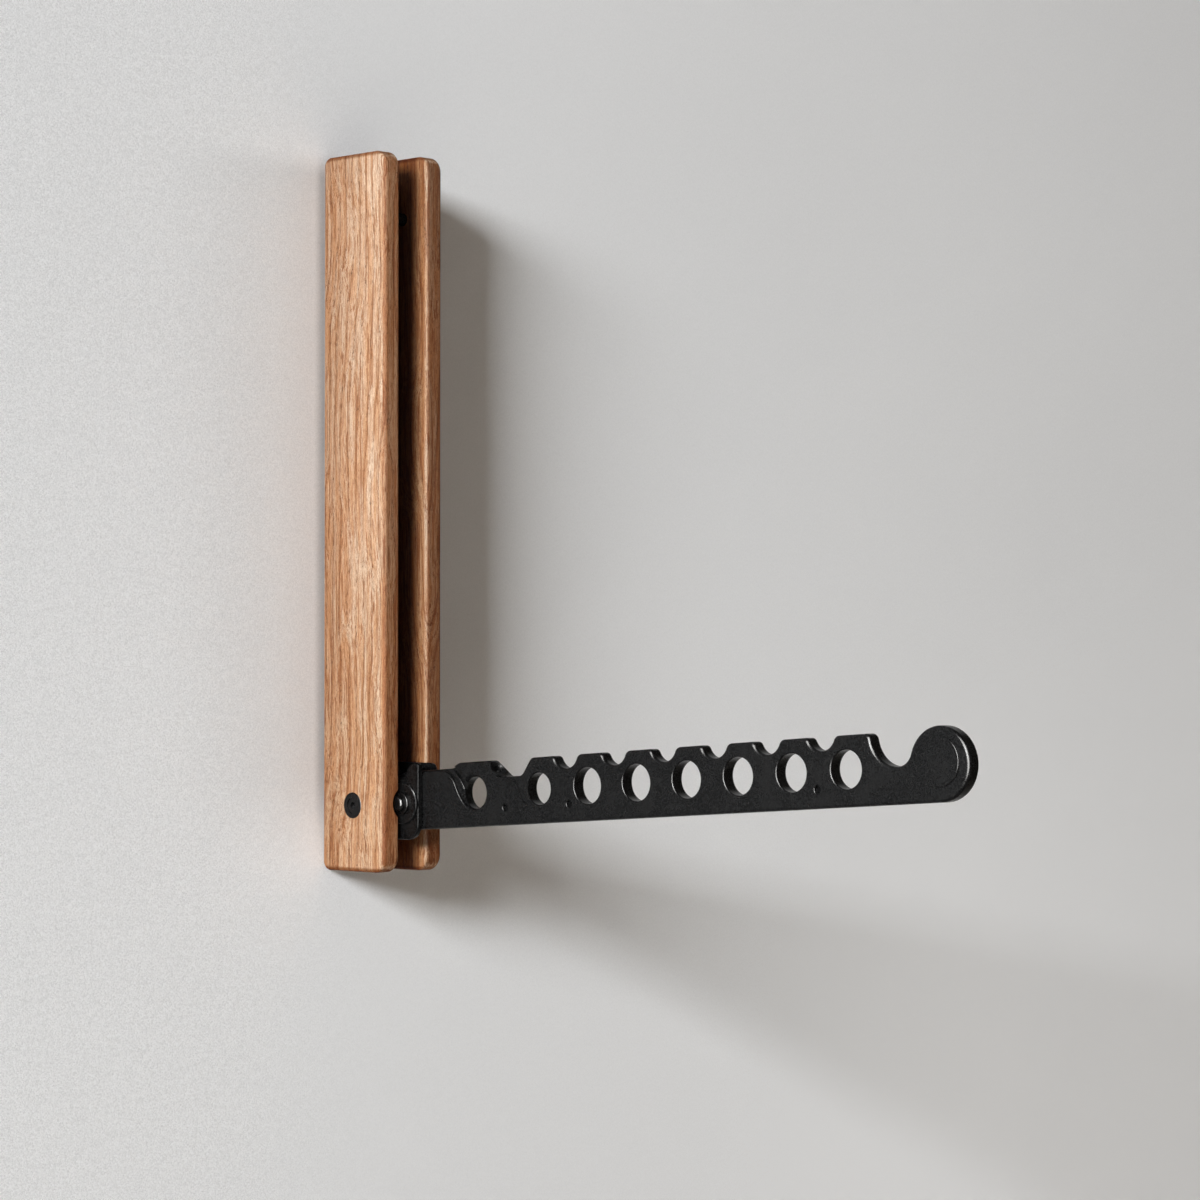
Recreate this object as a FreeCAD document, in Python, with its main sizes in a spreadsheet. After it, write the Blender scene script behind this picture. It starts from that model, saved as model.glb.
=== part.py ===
import FreeCAD, Part
import math
import os
from FreeCAD import Placement, Rotation, Vector

# Folding clothes valet for a wall, in millimetres.
# X runs along the wall, the wall is the plane Y = 0 with the room at -Y, and Z is up.
# The origin is on the wall, midway between the two wall screws.
# Heights in the sheet count from the foot of the cheeks, forward sizes from the wall.

sizes = {
    # oak cheeks
    "cheekHeight": 330.0,
    "cheekDepth": 42.2,
    "cheekThickness": 9.5,
    "cheekFrontRound": 7.3,
    "cheekBackRound": 4.0,
    "cheekEdgeRound": 1.8,
    "gapWidth": 16.8,
    # batten at the back of the gap
    "spineDepth": 18.0,
    "spineTopDrop": 8.0,
    "spineEdgeRound": 1.0,
    "wallHoleHeight": 190.0,
    "wallHoleSpacing": 180.0,
    "wallHoleRadius": 2.25,
    "wallSinkRadius": 4.5,
    "dowelRadius": 3.0,
    "dowelBite": 6.0,
    "dowelSetback": 9.0,
    "dowelFirstHeight": 68.0,
    "dowelTopDrop": 18.0,
    # fork that carries the arm
    "pivotHeight": 31.5,
    "pivotForward": 42.4,
    "clevisFoot": 15.0,
    "clevisTop": 50.0,
    "earForward": 52.2,
    "earThickness": 2.3,
    "earTopRound": 3.0,
    "earFootRound": 7.5,
    "earShortFoot": 19.5,
    "earReliefTop": 43.2,
    "earReliefForward": 43.4,
    "earReliefRound": 6.2,
    "earReliefToe": 0.6,
    "earEdgeRound": 0.9,
    "bossRadius": 9.6,
    "bossRise": 1.15,
    "bossEdgeRound": 1.0,
    "locatingPinRadius": 2.5,
    "locatingPinBite": 5.0,
    "locatingPinHeight": 42.0,
    "locatingPinForward": 9.0,
    # scallop for the pin head in the front edge of each cheek
    "scallopRadius": 7.6,
    "scallopBite": 4.2,
    # bolt through both cheeks and the fork
    "boltHeight": 30.3,
    "boltForward": 20.6,
    "boltRadius": 3.0,
    "flushHeadRadius": 5.9,
    "flushHeadHeight": 2.5,
    "flushRimRound": 0.4,
    "flushDishRadius": 3.7,
    "flushDishDepth": 0.4,
    "flushSocketWidth": 3.0,
    "flushSocketDepth": 1.8,
    "sleeveRadius": 4.0,
    "sleeveFloor": 2.4,
    # rod across the top of the gap, where the folded arm rests
    "tieRodDrop": 28.5,
    "tieRodForward": 25.7,
    "tieRodRadius": 3.0,
    "tieRodBite": 5.0,
    # pivot
    "pinRadius": 4.0,
    "pinHeadRadius": 5.1,
    "pinHeadHeight": 1.4,
    "pinHeadRound": 0.5,
    "pinDomeRadius": 3.6,
    "pinDomeHeight": 2.2,
    "pinDomeRound": 1.6,
    "pinThreadRadius": 2.5,
    "pinThreadDepth": 9.0,
    "pinEndSetback": 0.3,
    "screwEndGap": 1.0,
    "pivotSocketWidth": 3.0,
    "pivotSocketDepth": 1.5,
    "frictionWasherRadius": 8.0,
    "frictionWasherThickness": 0.4,
    "springWasherRadius": 5.0,
    "springWasherThickness": 0.5,
    "springWasherCone": 0.3,
    # arm, in its own level position with the pivot at its origin
    "armTilt": 3.95,
    "armThickness": 6.8,
    "armDrop": 12.45,
    "armEdgeRound": 1.6,
    "rootTop": 14.45,
    "toothTop": 16.85,
    "slopeStart": 28.4,
    "slopeEnd": 34.0,
    "slopeRound": 6.0,
    "heelGap": 0.3,
    "stopGap": 0.05,
    "stopPadTop": 4.0,
    "heelRound": 2.0,
    "smallHoleRadius": 7.1,
    "holeRadius": 8.0,
    "holeLift": 2.95,
    "holeNearRound": 0.7,
    "firstHoleRound": 1.9,
    "holeFarRound": 1.4,
    "firstHole": 43.7,
    "secondHole": 84.8,
    "thirdHole": 114.5,
    "toothPitch": 29.2,
    "pitchedHoles": 6.0,
    # wide first notch between a gentle flank and a steep one
    "saddleStart": 54.2,
    "saddleFloorStart": 63.7,
    "saddleFloorEnd": 73.8,
    "saddleEnd": 80.2,
    "saddleFloor": 9.2,
    "saddleRound": 4.5,
    "toothRound": 2.8,
    # round notches
    "notchCentre": 101.8,
    "notchRadius": 7.2,
    "notchLift": 1.45,
    "notchNearRound": 2.1,
    # open hook and round tip
    "hookRadius": 13.0,
    "hookBottom": 286.8,
    "hookFloor": 2.85,
    "discCentre": 308.15,
    "discRadius": 15.25,
    "padRadius": 10.3,
    "padLift": 1.0,
    "padRise": 0.7,
    "padEdgeRound": 0.4,
    # two steps down behind the edge of the root plate, both on the left face
    "stepDepth": 1.5,
    "wellDepth": 2.7,
    "stepRound": 1.0,
    "wellRound": 0.7,
    "flareMargin": 0.3,
    # scoop and dimples on the left face
    "scoopDepth": 0.9,
    "scoopStart": 62.0,
    "scoopEnd": 84.0,
    "dimpleRadius": 1.6,
    "dimpleDepth": 1.1,
    "dimpleRimRound": 0.5,
    "dimpleDrop": 4.5,
    "dimpleFirst": 63.3,
    "dimpleSecond": 103.1,
    "dimpleThird": 244.9,
    # ball-shaped hollow in the first notch with a set screw at its floor
    "hollowRadius": 7.2,
    "hollowReach": 61.9,
    "hollowHeight": 16.6,
    "hollowOffset": 3.0,
    "hollowTurn": 21.0,
    "hollowDip": 36.5,
    "grubRadius": 1.8,
    "grubLength": 3.0,
    "grubSetback": 0.5,
    "grubSocketWidth": 1.8,
    "grubSocketDepth": 1.4,
    "grubSeatExtra": 0.4,
    # clearances
    "boltClearance": 0.1,
    "fitClearance": 0.05,
    "washerPlay": 0.02,
}

doc = FreeCAD.newDocument("ClothesValet")
sheet = doc.addObject("Spreadsheet::Sheet", "Sizes")
for row, (alias, value) in enumerate(sizes.items(), start=1):
    sheet.set(f"A{row}", alias)
    sheet.set(f"B{row}", str(value))
    sheet.setAlias(f"B{row}", alias)
doc.recompute()


def size(alias):
    """One size, as the sheet holds it."""
    return float(getattr(sheet, alias))


def bind(thing, **formulas):
    """Bind properties to sheet formulas; a double underscore stands for a dot."""
    for path, formula in formulas.items():
        thing.setExpression(path.replace("__", "."), formula)


def sheetFormula(text):
    """Write the aliases of a formula as references to the sheet."""
    words = text.replace("(", " ( ").replace(")", " ) ").split()
    return " ".join(f"Sizes.{word}" if word in sizes else word for word in words)


def place(thing, x="0", y="0", z="0"):
    """Bind the place of a body or primitive to the sheet."""
    bind(thing, Placement__Base__x=sheetFormula(x), Placement__Base__y=sheetFormula(y),
         Placement__Base__z=sheetFormula(z))


def newBody(label):
    body = doc.addObject("PartDesign::Body", label)
    body.Label = label
    return body


def planeOf(body, role):
    return next(f for f in body.Origin.OriginFeatures if f.Role == role)


def addSketch(body, name, role, edges, offset=None):
    """A sketch on one of the body's own origin planes, raised by a formula of the sheet."""
    sketch = body.newObject("Sketcher::SketchObject", name)
    sketch.AttachmentSupport = [(planeOf(body, role), "")]
    sketch.MapMode = "FlatFace"
    sketch.addGeometry(edges, False)
    if offset:
        sketch.setExpression("AttachmentOffset.Base.z", sheetFormula(offset))
    doc.recompute()
    return sketch


def addPad(body, sketch, length, reverse=False, midplane=False):
    pad = body.newObject("PartDesign::Pad", sketch.Name + "Pad")
    pad.Profile = sketch
    pad.Reversed = reverse
    pad.SideType = "Symmetric" if midplane else "One side"
    bind(pad, Length=sheetFormula(length))
    doc.recompute()
    return pad


def addPocket(body, sketch, length=None, reverse=False):
    """A pocket; without a length it goes through everything on both sides."""
    pocket = body.newObject("PartDesign::Pocket", sketch.Name + "Pocket")
    pocket.Profile = sketch
    pocket.Reversed = reverse
    if length:
        bind(pocket, Length=sheetFormula(length))
    else:
        pocket.Type = "ThroughAll"
        pocket.SideType = "Symmetric"
    doc.recompute()
    return pocket


def addTurned(body, name, edges, axis="H_Axis", role="XY_Plane"):
    """A full revolution of a half profile about one of its sketch's axes."""
    sketch = addSketch(body, name + "Profile", role, edges)
    turned = body.newObject("PartDesign::Revolution", name)
    turned.Profile = sketch
    turned.ReferenceAxis = (sketch, [axis])
    turned.Angle = 360
    doc.recompute()
    return turned


def addFillet(body, base, radius, names):
    fillet = body.newObject("PartDesign::Fillet", base.Name + "Round")
    fillet.Base = (base, names)
    bind(fillet, Radius=sheetFormula(radius))
    doc.recompute()
    return fillet


def edgeNames(feature, test):
    return [f"Edge{i}" for i, edge in enumerate(feature.Shape.Edges, start=1) if test(edge)]


def liesOnX(edge, x):
    """Whether the whole edge lies in the plane at x."""
    box = edge.BoundBox
    return abs(box.XMin - x) < 1e-4 and abs(box.XMax - x) < 1e-4


def drill(body, name, radius, start, length, y, z):
    """A round hole along X, from start, over length."""
    hole = body.newObject("PartDesign::SubtractiveCylinder", name)
    hole.Placement = Placement(Vector(), Rotation(Vector(0, 1, 0), 90))
    bind(hole, Radius=sheetFormula(radius), Height=sheetFormula(length))
    place(hole, start, y, z)
    doc.recompute()
    return hole


def hexagon(width, y=0.0, z=0.0):
    """The six sides of a hexagon socket of the given width across its flats."""
    radius = width / math.sqrt(3)
    turns = [math.radians(60 * k) for k in range(7)]
    corners = [Vector(y + radius * math.cos(a), z + radius * math.sin(a), 0) for a in turns]
    return [Part.LineSegment(a, b) for a, b in zip(corners, corners[1:])]


def roundedLine(points, closed=False):
    """Lines through the points, with an arc of the given radius at each (x, y, radius)."""
    count = len(points)
    places = [Vector(p[0], p[1], 0) for p in points]
    radii = [p[2] if len(p) > 2 else 0.0 for p in points]
    entries = list(places)
    exits = list(places)
    arcs = [None] * count
    for i in range(count):
        if radii[i] <= 0 or (not closed and i in (0, count - 1)):
            continue
        back = (places[i - 1] - places[i]).normalize()
        ahead = (places[(i + 1) % count] - places[i]).normalize()
        half = back.getAngle(ahead) / 2
        reach = radii[i] / math.tan(half)
        entries[i] = places[i] + back * reach
        exits[i] = places[i] + ahead * reach
        middle = (back + ahead).normalize()
        crown = places[i] + middle * (radii[i] / math.sin(half) - radii[i])
        arcs[i] = Part.Arc(entries[i], crown, exits[i])
    edges = []
    for i in range(count if closed else count - 1):
        if arcs[i] and (closed or i > 0):
            edges.append(arcs[i])
        start, end = exits[i], entries[(i + 1) % count]
        if start.distanceToPoint(end) > 1e-6:
            edges.append(Part.LineSegment(start, end))
    return edges


def curveThrough(points):
    """One smooth curve through the points."""
    curve = Part.BSplineCurve()
    curve.interpolate([Vector(x, y, 0) for x, y in points])
    return curve


# ---------------------------------------------------------------- cheeks

tieRodHeight = "( cheekHeight - tieRodDrop )"


def dowelHeight(k):
    """The height of one of three dowels, the last one a fixed drop below the cheeks' tops."""
    return f"( dowelFirstHeight + {k} * ( cheekHeight - dowelTopDrop - dowelFirstHeight ) / 2 )"


def makeCheek(label, side):
    """An oak cheek; its own plane X = 0 is its inner face, and side is -1 left or 1 right."""
    body = newBody(label)
    depth, height = size("cheekDepth"), size("cheekHeight")
    front, back = size("cheekFrontRound"), size("cheekBackRound")
    outline = [(0, 0, back), (0, height, back), (-depth, height, front), (-depth, 0, front)]
    board = addSketch(body, label + "Outline", "YZ_Plane", roundedLine(outline, closed=True))
    pad = addPad(body, board, "cheekThickness", reverse=side < 0)
    outer = side * size("cheekThickness")
    rims = edgeNames(pad, lambda e: liesOnX(e, 0) or liesOnX(e, outer))
    addFillet(body, pad, "cheekEdgeRound", rims)

    # holes start at the inner face on the right cheek and end there on the left one
    def sink(name, radius, depthIn, y, z):
        start = "0" if side > 0 else f"0 - ( {depthIn} )"
        drill(body, label + name, radius, start, depthIn, y, z)

    through = "cheekThickness"
    passing = "sleeveRadius + fitClearance" if side > 0 else "boltRadius + boltClearance"
    sink("BoltHole", passing, through, "0 - boltForward", "boltHeight")
    sink("RodHole", "tieRodRadius", "tieRodBite", "0 - tieRodForward", tieRodHeight)
    sink("PinHole", "locatingPinRadius", "locatingPinBite", "0 - locatingPinForward",
         "locatingPinHeight")
    for k in range(3):
        sink(f"DowelHole{k}", "dowelRadius", "dowelBite", "0 - dowelSetback",
             dowelHeight(k))
    headStart = "cheekThickness - flushHeadHeight" if side > 0 else "0 - cheekThickness"
    drill(body, label + "HeadSeat", "flushHeadRadius + boltClearance", headStart,
          "flushHeadHeight", "0 - boltForward", "boltHeight")

    scallop = body.newObject("PartDesign::SubtractiveSphere", label + "Scallop")
    bind(scallop, Radius=sheetFormula("scallopRadius"))
    centre = "scallopBite - scallopRadius" if side > 0 else "scallopRadius - scallopBite"
    place(scallop, centre, "0 - pivotForward", "pivotHeight")
    doc.recompute()

    place(body, f"{side} * gapWidth / 2", "0", "0 - wallHoleHeight")
    return body


# ---------------------------------------------------------------- batten, dowels, rod

def makeSpine():
    """The batten that joins the cheeks and takes the two wall screws."""
    body = newBody("back_spine")
    low, high = size("clevisTop"), size("cheekHeight") - size("spineTopDrop")
    depth = size("spineDepth")
    edge = size("spineEdgeRound")
    outline = [(0, low), (0, high), (-depth, high, edge), (-depth, low)]
    side = addSketch(body, "SpineOutline", "YZ_Plane", roundedLine(outline, closed=True))
    addPad(body, side, "gapWidth", midplane=True)
    for k in range(3):
        drill(body, f"SpineDowelHole{k}", "dowelRadius", "0 - gapWidth / 2", "gapWidth",
              "0 - dowelSetback", dowelHeight(k))

    # a countersunk screw hole, turned about the sketch's own vertical axis and repeated upwards
    shank, sink = size("wallHoleRadius"), size("wallSinkRadius")
    corners = [(0, 0), (shank, 0), (shank, depth + shank - sink), (sink, depth), (0, depth)]
    profile = addSketch(body, "ScrewHoleProfile", "XY_Plane", roundedLine(
        [(x, -y) for x, y in corners], closed=True),
        "wallHoleHeight - wallHoleSpacing / 2")
    groove = body.newObject("PartDesign::Groove", "ScrewHole")
    groove.Profile = profile
    groove.ReferenceAxis = (profile, ["V_Axis"])
    groove.Angle = 360
    doc.recompute()
    pair = body.newObject("PartDesign::LinearPattern", "ScrewHoles")
    pair.Originals = [groove]
    pair.Direction = (profile, ["N_Axis"])
    pair.Occurrences = 2
    bind(pair, Length=sheetFormula("wallHoleSpacing"))
    body.Tip = pair
    doc.recompute()
    place(body, z="0 - wallHoleHeight")
    return body


def makeRod(label, radius, bite, y, z):
    """A plain round rod across the gap that bites into both cheeks."""
    rod = doc.addObject("Part::Cylinder", label)
    rod.Label = label
    rod.Placement = Placement(Vector(), Rotation(Vector(0, 1, 0), 90))
    bind(rod, Radius=sheetFormula(radius), Height=sheetFormula(f"gapWidth + 2 * {bite}"))
    place(rod, f"0 - gapWidth / 2 - {bite}", y, f"{z} - wallHoleHeight")
    return rod


def makeDowels():
    """Three glued dowels through the spine, as one group of separate pegs."""
    pegs = [makeRod(f"Dowel{k}", "dowelRadius", "dowelBite", "0 - dowelSetback",
                    dowelHeight(k)) for k in range(3)]
    group = doc.addObject("Part::Compound", "spine_dowels")
    group.Label = "spine_dowels"
    group.Links = pegs
    return group


# ---------------------------------------------------------------- fork

def slotHalf():
    """Half the slot of the fork: half the arm, one washer and its play."""
    return size("armThickness") / 2 + size("frictionWasherThickness") + size("washerPlay")


slotHalfFormula = "( armThickness / 2 + frictionWasherThickness + washerPlay )"
earOuterFormula = f"( {slotHalfFormula} + earThickness )"
bossOuterFormula = f"( {earOuterFormula} + bossRise )"


def earOuter():
    return slotHalf() + size("earThickness")


def bossOuter():
    return earOuter() + size("bossRise")


def slotFloor():
    """How far in front of the wall the slot of the fork ends, just clear of the turning heel."""
    return size("pivotForward") - size("rootTop") - size("heelGap")


def makeClevis():
    """The cast fork: a block between the cheeks and two ears that hold the pivot."""
    body = newBody("hinge_clevis")
    foot, top, front = size("clevisFoot"), size("clevisTop"), size("earForward")
    floor = slotFloor()
    block = addSketch(body, "BlockOutline", "YZ_Plane", roundedLine(
        [(0, foot), (0, top), (-floor, top), (-floor, foot)], closed=True))
    addPad(body, block, "gapWidth", midplane=True)

    # both ears start inside the block; the right one has a shorter foot, and the left one
    # is lower behind a rounded shoulder
    rear = floor / 2
    short = size("earShortFoot")
    plain = [(-rear, top), (-front, top, size("earTopRound")),
             (-front, short, size("earFootRound")), (-rear, short)]
    shoulder = [(-rear, size("earReliefTop")),
                (-size("earReliefForward"), size("earReliefTop"), size("earReliefToe")),
                (-size("earReliefForward"), top, size("earReliefRound")),
                (-front, top, size("earEdgeRound") + size("earReliefToe")),
                (-front, foot, size("earFootRound")), (-rear, foot)]
    for name, outline, side in (("RightEar", plain, 1), ("LeftEar", shoulder, -1)):
        start = slotHalfFormula if side > 0 else f"0 - {slotHalfFormula}"
        sketch = addSketch(body, name, "YZ_Plane", roundedLine(outline, closed=True), start)
        ear = addPad(body, sketch, "earThickness", reverse=side < 0)
        outer = side * earOuter()
        rims = edgeNames(ear, lambda e: liesOnX(e, outer) and e.BoundBox.YMax < -floor + 1e-3)
        addFillet(body, ear, "earEdgeRound", rims)

    for name, side in (("LeftBoss", -1), ("RightBoss", 1)):
        ring = [Part.Circle(Vector(-size("pivotForward"), size("pivotHeight"), 0), Vector(0, 0, 1),
                            size("bossRadius"))]
        start = slotHalfFormula if side > 0 else f"0 - {slotHalfFormula}"
        sketch = addSketch(body, name, "YZ_Plane", ring, start)
        boss = addPad(body, sketch, "earThickness + bossRise", reverse=side < 0)
        rims = edgeNames(boss, lambda e: liesOnX(e, side * bossOuter()))
        addFillet(body, boss, "bossEdgeRound", rims)

    drill(body, "PivotBore", "pinRadius + fitClearance", f"0 - {bossOuterFormula}",
          f"2 * {bossOuterFormula}", "0 - pivotForward", "pivotHeight")
    drill(body, "BoltBore", "boltRadius + boltClearance", "0 - gapWidth / 2", "gapWidth",
          "0 - boltForward", "boltHeight")
    drill(body, "LocatingBore", "locatingPinRadius", "0 - gapWidth / 2", "gapWidth",
          "0 - locatingPinForward", "locatingPinHeight")
    place(body, z="0 - wallHoleHeight")
    return body


# ---------------------------------------------------------------- bolt and sleeve nut

def addSocket(body, name, width, start, depth, reverse=False):
    """A hexagon socket along X, cut from the plane at start."""
    sketch = addSketch(body, name, "YZ_Plane", hexagon(size(width)), start)
    return addPocket(body, sketch, depth, reverse)


def makeCrossBolt():
    """The flush bolt that clamps both cheeks on the fork."""
    body = newBody("cross_bolt")
    outside = size("gapWidth") / 2 + size("cheekThickness")
    under = outside - size("flushHeadHeight")
    end = outside - size("sleeveFloor") - size("fitClearance")
    head, shank = size("flushHeadRadius"), size("boltRadius")
    rim, dish = size("flushRimRound"), size("flushDishRadius")
    dished = outside - size("flushDishDepth")
    profile = [(-dished, 0), (-dished, dish), (-outside, dish), (-outside, head, rim),
               (-under, head), (-under, shank), (end, shank, rim), (end, 0)]
    addTurned(body, "Bolt", roundedLine(profile, closed=True))
    addSocket(body, "BoltSocket", "flushSocketWidth",
              "flushSocketDepth - gapWidth / 2 - cheekThickness", "flushSocketDepth")
    place(body, "0", "0 - boltForward", "boltHeight - wallHoleHeight")
    return body


def makeSleeveNut():
    """The blind nut that sits flush in the right cheek."""
    body = newBody("sleeve_nut")
    outside = size("gapWidth") / 2 + size("cheekThickness")
    under = outside - size("flushHeadHeight")
    inner = size("gapWidth") / 2 + size("washerPlay")
    floor = outside - size("sleeveFloor")
    head, sleeve = size("flushHeadRadius"), size("sleeveRadius")
    bore = size("boltRadius") + size("fitClearance")
    profile = [(inner, bore), (inner, sleeve), (under, sleeve), (under, head),
               (outside, head, size("flushRimRound")), (outside, 0), (floor, 0), (floor, bore)]
    addTurned(body, "Nut", roundedLine(profile, closed=True))
    addSocket(body, "NutSocket", "flushSocketWidth",
              "gapWidth / 2 + cheekThickness", "flushSocketDepth")
    place(body, "0", "0 - boltForward", "boltHeight - wallHoleHeight")
    return body


# ---------------------------------------------------------------- pivot

def headProfile(seat, side):
    """A stepped domed head from its seat outwards: a flange and a low dome."""
    flange = seat + size("pinHeadHeight")
    dome = flange + size("pinDomeHeight")
    rim, crown = size("pinHeadRadius"), size("pinDomeRadius")
    steps = [(dome, 0), (dome, crown, size("pinDomeRound")), (flange, crown),
             (flange, rim, size("pinHeadRound")), (seat, rim)]
    return [(side * step[0],) + step[1:] for step in steps]


def makePivotPin():
    """The shoulder pin that the arm turns on, headed on the left and threaded on the right."""
    body = newBody("pivot_pin")
    seat, radius = bossOuter(), size("pinRadius")
    end = seat - size("pinEndSetback")
    thread = size("pinThreadRadius") + size("washerPlay")
    deep = end - size("pinThreadDepth")
    profile = headProfile(seat, -1) + [(-seat, radius), (end, radius), (end, thread),
                                       (deep, thread), (deep, 0)]
    addTurned(body, "Pin", roundedLine(profile, closed=True))
    place(body, "0", "0 - pivotForward", "pivotHeight - wallHoleHeight")
    return body


def springSeat():
    """Where the head of the pivot screw bears on the spring washer."""
    return bossOuter() + size("springWasherThickness") + size("springWasherCone")


def makePivotScrew():
    """The screw that closes the pivot on the right."""
    body = newBody("pivot_screw")
    seat = springSeat()
    end = bossOuter() - size("pinEndSetback") - size("pinThreadDepth") + size("screwEndGap")
    thread = size("pinThreadRadius")
    profile = headProfile(seat, 1) + [(seat, thread), (end, thread), (end, 0)]
    addTurned(body, "Screw", roundedLine(profile, closed=True))
    top = f"{bossOuterFormula} + springWasherThickness + springWasherCone + pinHeadHeight"
    addSocket(body, "ScrewSocket", "pivotSocketWidth", f"{top} + pinDomeHeight",
              "pivotSocketDepth")
    place(body, "0", "0 - pivotForward", "pivotHeight - wallHoleHeight")
    return body


def makeSpringWasher():
    """The conical washer that loads the pivot."""
    body = newBody("spring_washer")
    seat, rim = bossOuter(), size("springWasherRadius")
    bore = size("pinThreadRadius") + size("boltClearance")
    cone, thick = size("springWasherCone"), size("springWasherThickness")
    profile = [(seat, rim), (seat + cone, bore), (seat + cone + thick, bore), (seat + thick, rim)]
    addTurned(body, "Cone", roundedLine(profile, closed=True))
    place(body, "0", "0 - pivotForward", "pivotHeight - wallHoleHeight")
    return body


def makeFrictionWashers():
    """Two plain washers, one on each side of the arm."""
    rings = []
    for name, side in (("Left", -1), ("Right", 1)):
        rim = doc.addObject("Part::Cylinder", name + "WasherRim")
        bore = doc.addObject("Part::Cylinder", name + "WasherBore")
        start = "armThickness / 2 + washerPlay"
        start = start if side > 0 else f"0 - ( {start} + frictionWasherThickness )"
        for disc, radius in ((rim, "frictionWasherRadius"), (bore, "pinRadius + fitClearance")):
            disc.Placement = Placement(Vector(), Rotation(Vector(0, 1, 0), 90))
            bind(disc, Radius=sheetFormula(radius), Height=sheetFormula("frictionWasherThickness"))
            place(disc, start, "0 - pivotForward", "pivotHeight - wallHoleHeight")
        ring = doc.addObject("Part::Cut", name + "Washer")
        ring.Base, ring.Tool = rim, bore
        rings.append(ring)
    group = doc.addObject("Part::Compound", "friction_washers")
    group.Label = "friction_washers"
    group.Links = rings
    return group


# ---------------------------------------------------------------- arm

def fromUpright(behind, height):
    """A point behind the pivot, given upright, in the frame of the tilted arm."""
    tilt = math.radians(size("armTilt"))
    return (behind * math.cos(tilt) - height * math.sin(tilt),
            behind * math.sin(tilt) + height * math.cos(tilt))


def cornerOnBowl(middle, bowlRadius, bowlHeight, corner, top, side):
    """A round corner between the flat top and a bowl: its ends and its crown.

    The bowl's centre is at height bowlHeight; side is -1 or 1 of it, counted along the arm.
    """
    reach = math.sqrt((bowlRadius + corner) ** 2 - (top - corner - bowlHeight) ** 2)
    hub = Vector(middle + side * reach, top - corner, 0)
    bowl = Vector(middle, bowlHeight, 0)
    onTop = hub + Vector(0, corner, 0)
    onBowl = hub + (bowl - hub).normalize() * corner
    crown = hub + ((onTop - hub) + (onBowl - hub)).normalize() * corner
    return onTop, crown, onBowl


def mirrored(point):
    """A point counted along the arm, in the sketch, where the tip points to -x."""
    return Vector(-point.x, point.y, 0)


def arcAlong(start, middle, end):
    return Part.Arc(mirrored(start), mirrored(middle), mirrored(end))


def armOutline():
    """The arm seen from the side: its tip points to -x of the sketch, its teeth to +y."""
    root, tooth, drop = size("rootTop"), size("toothTop"), size("armDrop")
    corner, low = size("toothRound"), size("saddleFloor")

    # root, first tooth and the wide first notch, up to the first round notch
    bowl, lift = size("notchRadius"), tooth + size("notchLift")
    near, far = size("notchNearRound"), corner
    middle = size("notchCentre")
    firstCorner = cornerOnBowl(middle, bowl, lift, near, tooth, -1)
    saddle = [(0, root), (size("slopeStart"), root, size("slopeRound")),
              (size("slopeEnd"), tooth, size("slopeRound") / 2),
              (size("saddleStart"), tooth, corner),
              (size("saddleFloorStart"), low, size("saddleRound")),
              (size("saddleFloorEnd"), low, size("saddleRound")),
              (size("saddleEnd"), tooth, corner), (firstCorner[0].x, tooth)]
    edges = roundedLine([(-p[0],) + p[1:] for p in saddle])

    # the round notches with a flat tooth after each one
    floor = size("hookFloor")
    hookHub = Vector(size("hookBottom"), floor + size("hookRadius"), 0)
    hookCorner = cornerOnBowl(hookHub.x, size("hookRadius"), hookHub.y, corner, tooth, -1)
    count = round(size("pitchedHoles"))
    for k in range(count):
        middle = size("notchCentre") + k * size("toothPitch")
        top, crown, rim = cornerOnBowl(middle, bowl, lift, near, tooth, -1)
        edges.append(arcAlong(top, crown, rim))
        farTop, farCrown, farRim = cornerOnBowl(middle, bowl, lift, far, tooth, 1)
        edges.append(arcAlong(rim, Vector(middle, lift - bowl, 0), farRim))
        edges.append(arcAlong(farRim, farCrown, farTop))
        following = cornerOnBowl(middle + size("toothPitch"), bowl, lift, near, tooth, -1)
        onward = following[0] if k < count - 1 else hookCorner[0]
        edges.append(Part.LineSegment(mirrored(farTop), mirrored(onward)))

    # the open hook runs into the round tip: two hollow arcs and the disc, all tangent
    bottom = Vector(hookHub.x, floor, 0)
    deep = hookHub + ((bottom - hookHub) + (hookCorner[2] - hookHub)).normalize() * hookHub.sub(
        bottom).Length
    edges.append(arcAlong(*hookCorner))
    edges.append(arcAlong(hookCorner[2], deep, bottom))
    disc, radius = size("discCentre"), size("discRadius")
    centre = radius - drop
    across, over = disc - bottom.x, floor - centre
    hollow = (across ** 2 + over ** 2 - radius ** 2) / (2 * (radius - over))
    hub = Vector(bottom.x, floor + hollow, 0)
    tip = Vector(disc, centre, 0)
    join = hub + (tip - hub).normalize() * hollow
    between = hub + ((join - hub).normalize() + (bottom - hub).normalize()).normalize() * hollow
    edges.append(arcAlong(bottom, between, join))
    edges.append(arcAlong(join, tip + Vector(radius, 0, 0), Vector(disc, -drop, 0)))

    # the heel: a stop pad low behind the pivot, and an arc about the pivot above it
    stop = root + size("heelGap") - size("stopGap")
    tilt = math.radians(size("armTilt"))
    lowest = -(drop + stop * math.sin(tilt)) / math.cos(tilt)
    heel = [fromUpright(stop, lowest), fromUpright(stop, -size("stopPadTop")),
            fromUpright(root, 0)]
    edges += roundedLine([(-disc, -drop), heel[0] + (size("heelRound"),), heel[1], heel[2]])
    crest = Vector(*heel[2], 0)
    top = Vector(0, root, 0)
    edges.append(Part.Arc(crest, (crest + top).normalize() * root, top))
    return edges


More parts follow.
